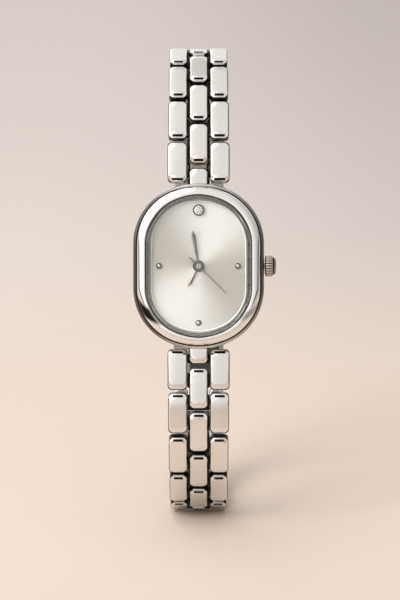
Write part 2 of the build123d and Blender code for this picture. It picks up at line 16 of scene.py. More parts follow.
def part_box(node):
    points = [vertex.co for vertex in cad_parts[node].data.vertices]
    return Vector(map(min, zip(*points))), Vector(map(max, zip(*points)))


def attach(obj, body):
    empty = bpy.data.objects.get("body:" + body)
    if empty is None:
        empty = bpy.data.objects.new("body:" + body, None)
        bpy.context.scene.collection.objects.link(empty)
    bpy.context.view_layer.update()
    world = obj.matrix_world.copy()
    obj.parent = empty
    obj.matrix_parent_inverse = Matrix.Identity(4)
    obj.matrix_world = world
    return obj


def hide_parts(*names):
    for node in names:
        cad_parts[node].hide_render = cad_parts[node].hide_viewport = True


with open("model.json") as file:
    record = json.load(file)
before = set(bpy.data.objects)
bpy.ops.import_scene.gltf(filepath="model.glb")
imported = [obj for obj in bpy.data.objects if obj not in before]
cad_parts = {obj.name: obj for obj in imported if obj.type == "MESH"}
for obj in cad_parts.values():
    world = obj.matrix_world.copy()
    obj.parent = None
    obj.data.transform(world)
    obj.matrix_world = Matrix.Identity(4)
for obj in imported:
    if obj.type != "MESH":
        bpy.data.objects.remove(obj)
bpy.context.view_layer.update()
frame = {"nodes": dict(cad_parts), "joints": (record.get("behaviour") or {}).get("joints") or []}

MM = 0.001
ACROSS = Vector((1, 0, 0))

# Case outline and the levels of its parts along the dial's normal, the dial's face at zero
half_width = 10.5
half_height = 13.33
corner_radius = 9.6
end_radius = 11.84
case_bottom = -3.9
case_top = -0.6
back_bottom = -4.6
bezel_top = 1.95
ring_top = 1.15
crystal_top = 2.15

# Insets from the case outline
bezel_inset = 0.42
seat_inset = 1.7
crystal_inset = 1.87
crystal_flat_inset = 2.32
cavity_inset = 2.25
opening_inset = 3.05
back_inset = 0.6

# Bracelet links
link_length = 6.55
centre_width = 3.0
column_gap = 0.32
half_pitch = 3.5
centre_shift = 0.45
last_bend = 8
pivot_y = 14.9
pivot_z = -2.6
lug_overhang = 0.85
boss_height = 1.5
boss_length = 2.4
boss_reach = centre_width / 2 + column_gap - 0.03
pin_size = 0.9
pin_setback = 0.03
nearly_round = 0.001
link_sharp = 18

# The first centre links, whose far boss shows in the gap and is longer
long_boss_links = 8
long_boss = 0.16

joints = {joint["name"]: joint for joint in frame["joints"]}
# Each point carries a share of painted shade: shade and dark reflections painted into the colour
Shape = namedtuple("Shape", "points faces recess")


def spot(joint):
    """Where a joint's axis passes the middle of the watch."""
    return Vector(joints[joint]["pos_m"])


def axes(origin, z_dir):
    """Frame at a point with x across the watch and z along a direction square to it."""
    z = z_dir.normalized()
    turn = Matrix((ACROSS, z.cross(ACROSS), z)).transposed()
    return Matrix.Translation(origin) @ turn.to_4x4()


head = axes(spot("minute_spin"), -Vector(joints["minute_spin"]["axis"]))
dial_centre = head.translation
dial_up = head.col[1].to_3d()
dial_out = head.col[2].to_3d()


def link_frame(half, index):
    """Frame midway between a link's pivots: y runs up the upper half, z faces out of the loop."""
    start = spot(f"{half}_pin_{index:02d}")
    after = f"{half}_pin_{index + 1:02d}"
    if after in joints:
        stop = spot(after)
    else:
        before = start - spot(f"{half}_pin_{index - 1:02d}")
        stop = start + Matrix.Rotation(radians(last_bend), 3, "X") @ before
    along = stop - start if half == "upper" else start - stop
    return axes((start + stop) / 2, ACROSS.cross(along))


# Shapes


def loft(rings, capped=True, closed=False, recess=None):
    """Faces between rings of equal length, each ring a closed list of points."""
    count = len(rings[0])
    points = [point for ring in rings for point in ring]
    shades = [shade for ring, shade in zip(rings, recess or [0] * len(rings)) for _ in ring]
    faces = []
    stops = list(range(1, len(rings))) + ([0] if closed else [])
    for a, b in zip(range(len(rings)), stops):
        for i in range(count):
            j = (i + 1) % count
            faces.append((a * count + i, a * count + j, b * count + j, b * count + i))
    if capped and not closed:
        faces.append(tuple(reversed(range(count))))
        faces.append(tuple(range(len(points) - count, len(points))))
    return Shape(points, faces, shades)


def moved(shape, matrix):
    """The shape placed by a matrix whose lengths are in millimetres."""
    return Shape([matrix @ Vector(point) for point in shape.points], shape.faces, shape.recess)


def circle(radius, z, count=48, x=0.0, y=0.0):
    """Points round a circle at one level."""
    turns = [tau * i / count for i in range(count)]
    return [(x + radius * cos(t), y + radius * sin(t), z) for t in turns]


def turned(profile, count=48, x=0.0, y=0.0, recess=None):
    """A round shape about the local z axis, from (radius, z) pairs."""
    return loft([circle(max(r, 0.001), z, count, x, y) for r, z in profile], recess=recess)


def arc(centre, radii, start, stop, steps):
    """Points of an ellipse's arc, angles in degrees."""
    turns = [radians(start + (stop - start) * i / steps) for i in range(steps + 1)]
    return [(centre[0] + radii[0] * cos(t), centre[1] + radii[1] * sin(t)) for t in turns]


def read_off(table, reach):
    """A value read from a table of (reach, value) pairs."""
    for (a, low), (b, high) in zip(table, table[1:]):
        if reach <= b:
            return low + (high - low) * (reach - a) / (b - a)
    return table[-1][1]


# How much farther in than the case outline the opening's edges lie, by the angle from the side,
# and the share of it that each inset gets
corner_extra = [(0, 0.24), (22, 0.25), (30, 0.28), (45, 0.38), (60, 0.32), (75, 0.28), (90, 0.2)]
extra_share = [(0, 0), (0.7, 0), (1.5, 1), (1.9, 1), (2.35, 0.65), (2.62, 0.4), (3.05, 0), (9, 0)]


def oval(inset, z, step=2.0):
    """Points round the case outline, moved inwards, above the case more so at the corners."""
    end_centre = half_height - end_radius
    corner_x = half_width - corner_radius
    corner_y = end_centre + sqrt((end_radius - corner_radius) ** 2 - corner_x**2)
    meet = atan2(corner_y - end_centre, corner_x) / radians(1)
    share = read_off(extra_share, inset) if z >= case_top else 0

    def pulled(points, centre):
        moves = []
        for x, y in points:
            away = Vector((x, y)) - Vector(centre if centre else (0, y))
            extra = share * read_off(corner_extra, atan2(y, x) / radians(1))
            moves.append(tuple(Vector((x, y)) - away.normalized() * extra))
        return moves

    quarter = pulled([(half_width - inset, corner_y * part) for part in (0.25, 0.62)], None)
    radius = corner_radius - inset
    corner = arc((corner_x, corner_y), (radius, radius), 0, meet, int(meet / step))
    quarter += pulled(corner, (corner_x, corner_y))
    radius = end_radius - inset
    end = arc((0, end_centre), (radius, radius), meet, 90, int((90 - meet) / step))
    quarter += pulled(end[1:], (0, end_centre))
    half = quarter + [(-x, y) for x, y in reversed(quarter[:-1])]
    return [(x, y, z) for x, y in half + [(-x, -y) for x, y in half]]


def oval_shape(profile, capped=False, closed=True, recess=None):
    """A shape round the case outline, from (inset, z) pairs."""
    return loft([oval(inset, z) for inset, z in profile], capped, closed, recess)


# A link from its underside up to the rim of its face, which strips then close. Each row is one
# ring: its inset at the sides, at the end nearer the dial and at the far end, its corner, the share
# of a straight cut in that corner, then its level and its painted shade at those same three places.
# The painted shade darkens the walls and underside that sit in shade, draws dark outlines round
# the face and paints a bar of dark reflection across the end nearer the dial.
link_rings = [
    (0.30, 0.40, 0.40, 0.50, 0.0, -1.0, -1.0, -1.0, 0.3, 0.3, 0.3),
    (0.10, 0.12, 0.12, 0.65, 0.0, -0.87, -0.87, -0.87, 0.35, 0.35, 0.35),
    (0.0, 0.0, 0.0, 0.70, 0.0, -0.6, -0.6, -0.6, 1.0, 1.0, 1.0),
    (0.0, 0.0, 0.0, 0.70, 0.0, 0.0, -0.1, 0.0, 1.0, 1.0, 1.0),
    (0.0, 0.0, 0.0, 0.70, 0.0, 0.5, 0.1, 0.2, 1.0, 0.35, 1.0),
    (0.0, 0.0, 0.0, 0.70, 0.0, 0.64, 0.42, 0.58, 1.0, 0.15, 1.0),
    (0.07, 0.03, 0.08, 0.68, 0.0, 0.80, 0.50, 0.68, 1.0, 0.1, 1.0),
    (0.11, 0.05, 0.12, 0.66, 0.2, 0.86, 0.52, 0.74, 0.7, 0.9, 0.6),
    (0.14, 0.10, 0.16, 0.64, 0.3, 0.895, 0.55, 0.79, 0.0, 0.9, 0.0),
    (0.145, 0.12, 0.20, 0.63, 0.3, 0.90, 0.56, 0.83, 0.0, 0.0, 0.0),
    (0.17, 0.27, 0.30, 0.60, 0.6, 0.925, 0.63, 0.88, 0.0, 0.0, 0.0),
    (0.175, 0.285, 0.32, 0.60, 0.6, 0.93, 0.64, 0.885, 0.0, 1.0, 0.0),
    (0.25, 0.64, 0.80, 0.52, 1.0, 0.965, 0.82, 0.962, 0.0, 1.0, 0.0),
    (0.255, 0.655, 0.82, 0.52, 1.0, 0.967, 0.83, 0.964, 0.0, 0.0, 0.0),
    (0.4, 0.9, 1.2, 0.45, 1.0, 0.976, 0.885, 0.978, 0.0, 0.0, 0.0),
]
corner_steps = 5
side_steps = 6

# How far the face falls below its crown, by the distance from the end nearer the dial and by the
# distance from the far end. A ring takes none of it at level fall_start, all at fall_rise above.
near_fall = [(0.0, 0.3), (0.65, 0.157), (0.9, 0.102), (1.6, 0.057), (2.6, 0.024)]
near_fall += [(3.9, 0.0), (9.0, 0.0)]
far_fall = [(0.0, 0.2), (0.32, 0.09), (0.8, 0.015), (1.6, 0.005), (2.3, 0.0), (9.0, 0.0)]
fall_start = 0.5
fall_rise = 0.4

# The outer side of an outer link, which gets less painted shade
flank_depth = 0.04


def link_body(width, near, x=0.0, y=0.0, outer_side=0, length=link_length):
    """One link: sloped ends, rounded sides, cut corners; near is the sign of the dial-side end."""
    shades, rings = [], []
    for side, end, far, corner, share, *heights in link_rings:
        ring = []
        levels, tones = heights[:3], heights[3:]
        high = max(0.0, min(1.0, (levels[0] - fall_start) / fall_rise))

        def add(px, py, ended, level, tone):
            fall = read_off(far_fall, length / 2 + py * (near or 1))
            fall += read_off(near_fall if near else far_fall, length / 2 - py * (near or 1))
            z = (levels[0] - fall * high) * (1 - ended) + level * ended
            shade = tone if ended > 0.99 else tones[0]
            if outer_side and px * outer_side > width / 2 - flank_depth:
                shade = min(shade, 0.9 if z > 0.6 else 0.05)
            ring.append((px + x, py + y, z))
            shades.append(shade)

        for sx, sy, start in ((1, 1, 0), (-1, 1, 90), (-1, -1, 180), (1, -1, 270)):
            at_near = near and sy == near
            inset = end if at_near else far
            cx = sx * (width / 2 - side - corner)
            cy = sy * (length / 2 - inset - corner)
            level = levels[1] if at_near else levels[2]
            tone = tones[1] if at_near else tones[2]
            for i in range(corner_steps + 1):
                part = i / corner_steps
                turn = radians(start + 90 * part)
                first, last = radians(start), radians(start + 90)
                a = cos(turn) * (1 - share) + (cos(first) * (1 - part) + cos(last) * part) * share
                b = sin(turn) * (1 - share) + (sin(first) * (1 - part) + sin(last) * part) * share
                ended = part if start in (0, 180) else 1 - part
                add(cx + corner * a, cy + corner * b, ended, level, tone)
            if start in (90, 270):
                after = end if near and -sy == near else far
                stop = -sy * (length / 2 - after - corner)
                for i in range(1, side_steps):
                    add(cx + sx * corner, cy + (stop - cy) * i / side_steps, 0.0, level, tone)
        rings.append(ring)
    count = len(rings[0])
    top = (len(rings) - 1) * count
    shape = loft(rings, capped=False)
    faces = shape.faces + [tuple(reversed(range(count)))]
    for i in range(count // 2 - 1):
        left, right = corner_steps + 1 + i, (corner_steps - i) % count
        faces.append((top + right, top + left, top + left + 1, top + (right - 1) % count))
    return Shape(shape.points, faces, shades)


def slot_bar(y, length, height, reach, shade=1.0, more=0.0, steps=10):
    """A bar across the width, its outline a slot, longer by more at the end that its sign says."""
    turns = [radians(-90 + 180 * i / steps) for i in range(steps + 1)]
    straight = (length - height) / 2
    half = [(straight + height / 2 * cos(t), height / 2 * sin(t)) for t in turns]
    outline = [(a + max(more, 0), b) for a, b in half] + [(min(more, 0) - a, -b) for a, b in half]
    rings = [[(x, y + a, b) for a, b in outline] for x in (-reach, reach)]
    # The whole bar darkened by the share of painted shade given, for the shade in the gaps
    return loft(rings, recess=[shade, shade])


# Finishes


def node(tree, kind, sockets=(), **settings):
    """A shader node with its settings; each socket gets a value or a link."""
    made = tree.nodes.new(kind)
    for key, value in settings.items():
        setattr(made, key, value)
    for key, value in dict(sockets).items():
        if isinstance(value, bpy.types.NodeSocket):
            tree.links.new(value, made.inputs[key])
        else:
            made.inputs[key].default_value = value
    return made


def noise(tree, coords, scale, detail=3.0, rough=0.55):
    """Values that wander with the place."""
    sockets = {"Vector": coords, "Scale": scale, "Detail": detail, "Roughness": rough}
    return node(tree, "ShaderNodeTexNoise", sockets).outputs[0]


def span(tree, value, low, high, to_low=0.0, to_high=1.0, smooth=True):
    """A value mapped from one range to another."""
    kind = "SMOOTHSTEP" if smooth else "LINEAR"
    sockets = {"Value": value, 1: low, 2: high, 3: to_low, 4: to_high}
    return node(tree, "ShaderNodeMapRange", sockets, interpolation_type=kind).outputs[0]


def blend_colours(tree, share, a, b):
    """A colour between two, by the second one's share."""
    sockets = {0: share, 6: a, 7: b}
    return node(tree, "ShaderNodeMix", sockets, data_type="RGBA").outputs[2]


def math(tree, operation, a, b=0.0, c=0.0):
    """The result of one sum in a shader."""
    return node(tree, "ShaderNodeMath", {0: a, 1: b, 2: c}, operation=operation).outputs[0]


def new_material(name):
    """An empty material with its output, and the object's own coordinates."""
    made = bpy.data.materials.new(name)
    made.use_nodes = True
    tree = made.node_tree
    tree.nodes.clear()
    output = node(tree, "ShaderNodeOutputMaterial")
    coords = node(tree, "ShaderNodeTexCoord").outputs["Object"]
    return made, tree, output, coords


# Half the width of the band of painted shade inside the clasp, in metres: where it is full and
# where weak
shade_band_inner = 0.0024
shade_band_outer = 0.0027


def metal(
    name,
    colour,
    rough,
    stain=0.06,
    grain=0.02,
    stretch=(1, 1, 1),
    dark=0.02,
    metallic=1.0,
    inside_shade=0.0,
):
    """Metal that wanders a little, darkened by painted shade set on its points; a clasp's finish
    also paints shade on its faces that look into the loop.
    """
    made, tree, output, coords = new_material(name)
    stretched = node(tree, "ShaderNodeMapping", {"Vector": coords, "Scale": stretch}).outputs[0]
    broad = noise(tree, coords, 260)
    fine = noise(tree, stretched, 5200, 2.0)
    recess = node(tree, "ShaderNodeAttribute", attribute_name="recess").outputs["Fac"]
    tone = blend_colours(tree, broad, (*[c * (1 - stain) for c in colour], 1), (*colour, 1))
    # The colour of full painted shade: this share of the metal's own
    low = [c * dark for c in colour]
    # Painted shade on faces looking into the loop, full in a band down the clasp's middle
    if inside_shade:
        normal = node(tree, "ShaderNodeTexCoord").outputs["Normal"]
        facing = node(tree, "ShaderNodeSeparateXYZ", {0: normal}).outputs[1]
        across = node(tree, "ShaderNodeSeparateXYZ", {0: coords}).outputs[0]
        wide = math(tree, "ABSOLUTE", across)
        shade_band = span(tree, wide, shade_band_inner, shade_band_outer, inside_shade, inside_shade * 0.35)
        recess = math(tree, "MAXIMUM", recess, span(tree, facing, -0.1, -0.6, 0, shade_band))
    tone = blend_colours(tree, recess, tone, (low[0], low[1] * 0.9, low[2] * 0.8, 1))
    roughness = span(tree, broad, 0.3, 0.7, rough * 0.8, rough * 1.3)
    roughness = math(tree, "MULTIPLY_ADD", fine, rough * 0.3, roughness)
    roughness = math(tree, "MULTIPLY_ADD", recess, 0.2, roughness)
    bump = node(tree, "ShaderNodeBump", {"Strength": grain, "Distance": 0.00001, "Height": fine})
    surface = {
        "Base Color": tone,
        "Metallic": metallic,
        "Roughness": roughness,
        "Normal": bump.outputs[0],
    }
    shader = node(tree, "ShaderNodeBsdfPrincipled", surface)
    tree.links.new(shader.outputs[0], output.inputs[0])
    return made


def plain(name, colour, rough, mottled=0.12):
    """Rubber or plastic: a mottled colour with a fine bump."""
    made, tree, output, coords = new_material(name)
    spots = noise(tree, coords, 900, 4.0)
    tone = blend_colours(tree, spots, (*[c * (1 - mottled) for c in colour], 1), (*colour, 1))
    roughness = span(tree, spots, 0.3, 0.7, rough * 0.85, rough * 1.1)
    bump = node(tree, "ShaderNodeBump", {"Strength": 0.1, "Distance": 0.00002, "Height": spots})
    surface = {
        "Base Color": tone,
        "Roughness": roughness,
        "Specular IOR Level": 0.5,
        "Normal": bump.outputs[0],
    }
    shader = node(tree, "ShaderNodeBsdfPrincipled", surface)
    tree.links.new(shader.outputs[0], output.inputs[0])
    return made


def glass(name, colour, ior):
    """Clear glass that lets the lamps through to what it covers."""
    made, tree, output, coords = new_material(name)
    film = noise(tree, coords, 400)
    tone = blend_colours(tree, film, (*[c * 0.97 for c in colour], 1), (*colour, 1))
    surface = {
        "Base Color": tone,
        "Roughness": 0.0,
        "IOR": ior,
        "Transmission Weight": 1.0,
    }
    clear = node(tree, "ShaderNodeBsdfPrincipled", surface)
    passing = node(tree, "ShaderNodeBsdfTransparent", {"Color": (*colour, 1)})
    shadow = node(tree, "ShaderNodeLightPath").outputs["Is Shadow Ray"]
    either = {0: shadow, 1: clear.outputs[0], 2: passing.outputs[0]}
    mixed = node(tree, "ShaderNodeMixShader", either)
    tree.links.new(mixed.outputs[0], output.inputs[0])
    return made


# Painted sheen on the dial: the angle of the middle of its bright sectors, and the share of each
# colour left in the darker ones between
sector_turn = 66
sector_dark = (0.68, 0.665, 0.64)


def sunray(name, colour):
    """Silvered dial, brushed in rays from its centre; its sheen comes partly from the brushing and
    partly painted, in bright opposite sectors and darker towards the right.
    """
    made, tree, output, coords = new_material(name)
    rays = node(tree, "ShaderNodeUVMap", uv_map="rays").outputs[0]
    lines = node(tree, "ShaderNodeMapping", {"Vector": rays, "Scale": (900, 3, 1)}).outputs[0]
    streaks = noise(tree, lines, 1.0, 3.0, 0.7)
    tone = blend_colours(tree, streaks, (*[c * 0.92 for c in colour], 1), (*colour, 1))
    # Painted sheen: brighter in two opposite sectors and darker towards the right
    turn = node(tree, "ShaderNodeSeparateXYZ", {0: rays}).outputs[0]
    doubled = math(tree, "MULTIPLY_ADD", turn, 2 * tau, -2 * radians(sector_turn))
    swing = math(tree, "COSINE", doubled)
    lean = math(tree, "COSINE", math(tree, "MULTIPLY", turn, tau))
    painted_sheen = span(tree, math(tree, "MULTIPLY_ADD", lean, -0.35, swing), -1.0, 1.0)
    low = (*[c * left for c, left in zip(colour, sector_dark)], 1)
    tone = blend_colours(tree, painted_sheen, low, tone)
    roughness = span(tree, streaks, 0.3, 0.7, 0.3, 0.38)
    tangent = node(tree, "ShaderNodeTangent", direction_type="UV_MAP", uv_map="rays").outputs[0]
    surface = {
        "Base Color": tone,
        "Metallic": 0.7,
        "Roughness": roughness,
        "Anisotropic": 0.85,
        "Tangent": tangent,
    }
    shader = node(tree, "ShaderNodeBsdfPrincipled", surface)
    tree.links.new(shader.outputs[0], output.inputs[0])
    return made


steel = (0.85, 0.832, 0.808)
finish = {
    "polished_steel": metal("case_steel", steel, 0.08),
    "bezel_steel": metal("bezel_polish", (0.9, 0.89, 0.87), 0.05, stain=0.03),
    "link_steel": metal("link_polish", steel, 0.11, grain=0.05),
    "pin_steel": metal("pin_ends", (0.5, 0.49, 0.48), 0.25),
    "crystal_glass": glass("mineral_glass", (0.995, 1.0, 0.99), 1.52),
    "stone": glass("clear_stone", (0.98, 0.99, 1.0), 2.0),
    # A darker, browner copy of the steel: painted dark reflection on the ball markers
    "ball_steel": metal("ball_steel", (0.56, 0.51, 0.465), 0.1),
    "back_steel": metal("back_steel", (0.62, 0.605, 0.585), 0.24, stain=0.1, grain=0.01),
    # A darker beige copy of the steel: painted reflection of the pale floor over the crown
    "crown_steel": metal("crown_steel", (0.74, 0.665, 0.59), 0.12),
    "cap_steel": metal("cap_steel", (0.6, 0.57, 0.54), 0.2),
    # Clasp steel with painted shade on its faces that look into the loop
    "clasp_steel": metal("clasp_steel", (0.72, 0.705, 0.685), 0.16, grain=0.05, inside_shade=0.9),
    "cut_stone": metal("cut_stone", (0.97, 0.97, 0.96), 0.08, dark=0.03, metallic=0.2),
    "dial_silver": sunray("silver_sunray", (0.74, 0.725, 0.705)),
    "dial_bright": metal("bright_plate", (0.78, 0.77, 0.75), 0.1),
    "ring_silver": metal("ring_silver", (0.97, 0.965, 0.945), 0.4, metallic=0.25),
    "hand_grey": metal("grey_plate", (0.19, 0.17, 0.155), 0.26),
    "gasket_rubber": plain("black_rubber", (0.02, 0.02, 0.02), 0.5),
    "wheel_brass": metal("wheel_brass", (0.75, 0.58, 0.28), 0.3),
    "plate_metal": metal("plate_nickel", (0.62, 0.58, 0.5), 0.35),
    "holder_plastic": plain("holder_plastic", (0.8, 0.79, 0.74), 0.5),
    "coil_copper": metal("copper_winding", (0.65, 0.28, 0.13), 0.35, stretch=(8, 1, 1)),
}


# Pieces


def dress(piece, slot, look=None):
    """Give a piece one finish: the look's if one is given, else its slot's."""
    piece.data.materials.clear()
    piece.data.materials.append(finish[look or slot])


def make_mesh(name, shapes, sharp=35):
    """A mesh in metres from shapes in millimetres, their painted shade kept with it as a point
    attribute.
    """
    points, faces, shades = [], [], []
    for shape in shapes:
        start = len(points)
        points += [Vector(point) * MM for point in shape.points]
        faces += [tuple(start + i for i in face) for face in shape.faces]
        shades += shape.recess
    mesh = bpy.data.meshes.new(name)
    mesh.from_pydata(points, [], faces)
    recess = mesh.attributes.new("recess", "FLOAT", "POINT")
    recess.data.foreach_set("value", shades)
    turned_out = bmesh.new()
    turned_out.from_mesh(mesh)
    bmesh.ops.recalc_face_normals(turned_out, faces=turned_out.faces)
    turned_out.to_mesh(mesh)
    turned_out.free()
    mesh.shade_smooth()
    mesh.set_sharp_from_angle(angle=radians(sharp))
    return mesh


def place(name, mesh, matrix, slot, body, nodes=(), look=None):
    """An object for a mesh put in its frame, on its body, in place of the nodes it stands for."""
    mesh.transform(matrix)
    piece = bpy.data.objects.new(name, mesh)
    bpy.context.scene.collection.objects.link(piece)
    mesh.materials.append(finish[look or slot])
    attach(piece, body)
    if nodes:
        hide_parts(*nodes)


def head_piece(name, shapes, slot, body="case", nodes=(), sharp=35, look=None):
    """A piece whose shapes are in the frame of the dial."""
    place(name, make_mesh(name, shapes, sharp), head, slot, body, nodes, look=look)


# Carried-over solids keep their shapes and get the finishes
slots = {
    "crystal_gasket": "gasket_rubber",
    "back_gasket": "gasket_rubber",
    "hour_wheel": "wheel_brass",
    "cannon_pinion": "wheel_brass",
    "minute_wheel": "wheel_brass",
    "movement_plate": "plate_metal",
    "movement_holder": "holder_plastic",
    "battery": "pin_steel",
    "coil": "coil_copper",
    "winding_stem": "pin_steel",
    "clasp_base": "link_steel",
    "clasp_cover": "link_steel",
    "clasp_pin": "pin_steel",
}
for name, slot in slots.items():
    dress(frame["nodes"][name], slot, "clasp_steel" if slot == "link_steel" else None)


def lug(side):
    """The stub that holds the bracelet's first pin: a short link whose near end is in the case."""
    root = half_height - seat_inset
    length = pivot_y + lug_overhang - root
    middle = side * (root + length / 2)
    body = link_body(centre_width, 0, y=middle, length=length)
    boss = slot_bar(side * pivot_y, boss_height, boss_height - nearly_round, boss_reach)
    return [moved(shape, Matrix.Translation((0, 0, pivot_z))) for shape in (body, boss)]


case_profile = [
    (cavity_inset, case_bottom),
    *arc((0.22, case_bottom + 0.22), (0.22, 0.22), 270, 180, 5),
    *arc((0.5, case_top - 0.7), (0.5, 0.66), 180, 105, 7),
    (0.44, case_top),
    (cavity_inset, case_top),
]
# Painted shade on the band, standing for its dark reflections: most on its upper arc and the seam
# under the bezel
case_shades = [0.0] + [0.1] * 6 + [0.4] + [0.86] * 7 + [1.0, 1.0]
band = oval_shape(case_profile, recess=case_shades)
# More painted shade towards the sides, most on the left
painted_side_shade = [
    min(1, 0.15 + (0.75 if x > 0 else 1.2) * abs(x) / half_width) for x, _, _ in band.points
]
band = Shape(band.points, band.faces, [a * b for a, b in zip(band.recess, painted_side_shade)])
case_shapes = [band, *lug(1), *lug(-1)]
head_piece("case_band", case_shapes, "polished_steel", nodes=["case_middle"])

bezel_profile = [
    (bezel_inset, case_top),
    (bezel_inset, case_top + 0.04),
    (bezel_inset + 0.24, case_top + 0.06),
    (bezel_inset + 0.26, 0.1),
    (bezel_inset + 0.27, 0.85),
    *arc((1.46, 1.0), (0.77, bezel_top - 1.02), 176, 90, 14),
    *arc((1.62, 1.83), (seat_inset - 1.62, bezel_top - 1.85), 90, 0, 5),
    (seat_inset, ring_top),
    (cavity_inset, ring_top),
    (cavity_inset, case_top),
]
# Painted shade at the seam by the bezel's foot and at its edge by the crystal
bezel_shades = [1, 1, 1, 0.9, 0.4] + [0.0] * 20 + [1, 1, 0.6, 0.4]
bezel_shape = oval_shape(bezel_profile, recess=bezel_shades)


# Rings of the bezel's profile up to its foot and up to the end of its flank, and the wedges of
# painted dark reflection on the flank: degrees below the side at the foot, and lower with each ring
foot_rings = 5
flank_rings = 21
wedge_turn = 32
wedge_drift = 1.15
wedge_width_left = 11
wedge_width_right = 6


def bezel_shade(point, ring, shade):
    """Less painted shade in the foot at the top, and painted dark reflection on the flank low at
    both sides.
    """
    x, y, _ = point
    turn = atan2(y, abs(x)) / radians(1)
    if ring < foot_rings:
        return shade * min(1, 0.6 + abs(x) / half_width if y > 0 else 1)
    if ring < flank_rings:
        away = abs(turn + wedge_turn + (ring - foot_rings) * wedge_drift)
        near = max(0, 1 - away / (wedge_width_left if x < 0 else wedge_width_right))
        fade = min(1, (flank_rings + 1 - ring) / 4)
        return max(shade, (1.0 if x < 0 else 0.5) * min(1, near * 2.2) * fade)
    return shade


per_ring = len(bezel_shape.points) // len(bezel_profile)
tones = [
    bezel_shade(point, i // per_ring, shade)
    for i, (point, shade) in enumerate(zip(bezel_shape.points, bezel_shape.recess))
]
bezel_shape = Shape(bezel_shape.points, bezel_shape.faces, tones)
head_piece("bezel_ring", [bezel_shape], "bezel_steel", nodes=["bezel"])

crystal_profile = [
    (crystal_inset, ring_top),
    (crystal_inset, crystal_top - 0.34),
    (crystal_inset + 0.02, crystal_top - 0.3),
    (crystal_flat_inset - 0.02, crystal_top - 0.012),
    (crystal_flat_inset + 0.02, crystal_top),
]
head_piece(
    "crystal_dome",
    [oval_shape(crystal_profile, capped=True, closed=False)],
    "crystal_glass",
    nodes=["crystal"],
    sharp=20,
)

ring_profile = [
    (cavity_inset + 0.06, 0.0),
    (cavity_inset + 0.06, ring_top),
    (2.4, ring_top),
    (2.43, ring_top),
    (2.5, ring_top),
    (2.53, ring_top),
    (2.58, ring_top - 0.01),
    (2.62, ring_top - 0.05),
    (2.84, ring_top - 0.26),
    (2.88, ring_top - 0.3),
    (opening_inset - 0.02, ring_top - 0.44),
    (opening_inset, ring_top - 0.5),
    (opening_inset, 0.06),
    (opening_inset, 0.0),
]
# Painted shade down the ring: dark bands under the crystal's edge, a light line at the dial's edge,
# full at the foot
ring_shades = [0.75, 0.75, 0.75, 0.96, 0.96, 0.75, 0.7, 0.7, 0.72, 0, 0, 0.2, 0.5, 1]
ring_shape = oval_shape(ring_profile, recess=ring_shades)
# More painted shade towards the right of the ring
painted_right_shade = [0.25 * max(0, x / half_width) for x, _, _ in ring_shape.points]
ring_tones = [min(1, a + b) for a, b in zip(ring_shape.recess, painted_right_shade)]
ring_shape = Shape(ring_shape.points, ring_shape.faces, ring_tones)
head_piece("dial_wall", [ring_shape], "dial_bright", nodes=["dial_ring"], look="ring_silver")


def dial_piece():
    """The dial as rings from its hole to its edge, with a map whose u runs round the centre."""
    hole = 0.8
    edge = oval(cavity_inset + 0.06, 0.0, step=1.0)
    rings = []
    for share in (0, 0.25, 0.5, 0.75, 1):
        ring = []
        for x, y, _ in edge:
            reach = hypot(x, y)
            radius = hole + (reach - hole) * share
            ring.append((x / reach * radius, y / reach * radius, 0.0))
        rings.append(ring)
    low = [(x, y, -0.4) for x, y, _ in edge]
    under = [(x, y, -0.4) for x, y, _ in rings[0]]
    mesh = make_mesh("dial_face", [loft([*rings, low, under], closed=True)], sharp=30)
    rays = mesh.uv_layers.new(name="rays")
    for face in mesh.polygons:
        turns = [atan2(mesh.vertices[i].co.y, mesh.vertices[i].co.x) for i in face.vertices]
        first = turns[0]
        for loop, index, turn in zip(face.loop_indices, face.vertices, turns):
            turn += tau * round((first - turn) / tau)
            point = mesh.vertices[index].co
            rays.data[loop].uv = (turn / tau, hypot(point.x, point.y) / MM / 12)
    place("dial_face", mesh, head, "dial_silver", "case", ["dial"])


dial_piece()

ball_radius = 0.5
balls = []
for x, y in ((6.3, 0), (-6.3, 0), (0, -9.1)):
    dome = arc((0, 0), (ball_radius, ball_radius), 0, 89, 12)
    # Painted shade on each ball: a dark rim fading to none at its top, standing for its dark
    # reflections
    foot_shades = [1, 1] + [1, 1, 0.97, 0.93, 0.88, 0.8, 0.7, 0.58, 0.42, 0.2, 0.05, 0, 0]
    balls.append(turned([(0.2, -0.39), (0.2, 0.0), *dome], 36, x, y, foot_shades))
head_piece("ball_dots", balls, "dial_bright", nodes=["ball_markers"], look="ball_steel")

stone_y = 8.93
collar_profile = [(0.93, 0.0), (0.93, 0.38), (0.88, 0.47), (0.8, 0.54)]
collar_profile += [(0.73, 0.54), (0.7, 0.48), (0.7, 0.1), (0.7, 0.0)]
collar_rings = [circle(r, z, 48, 0, stone_y) for r, z in collar_profile]
# Painted shade: the collar dark, a little lighter on its top
collar = loft(collar_rings, closed=True, recess=[1, 1, 0.9, 0.75, 0.6, 0.85, 1, 1])
head_piece("stone_rim", [collar], "dial_bright", nodes=["stone_collar"])


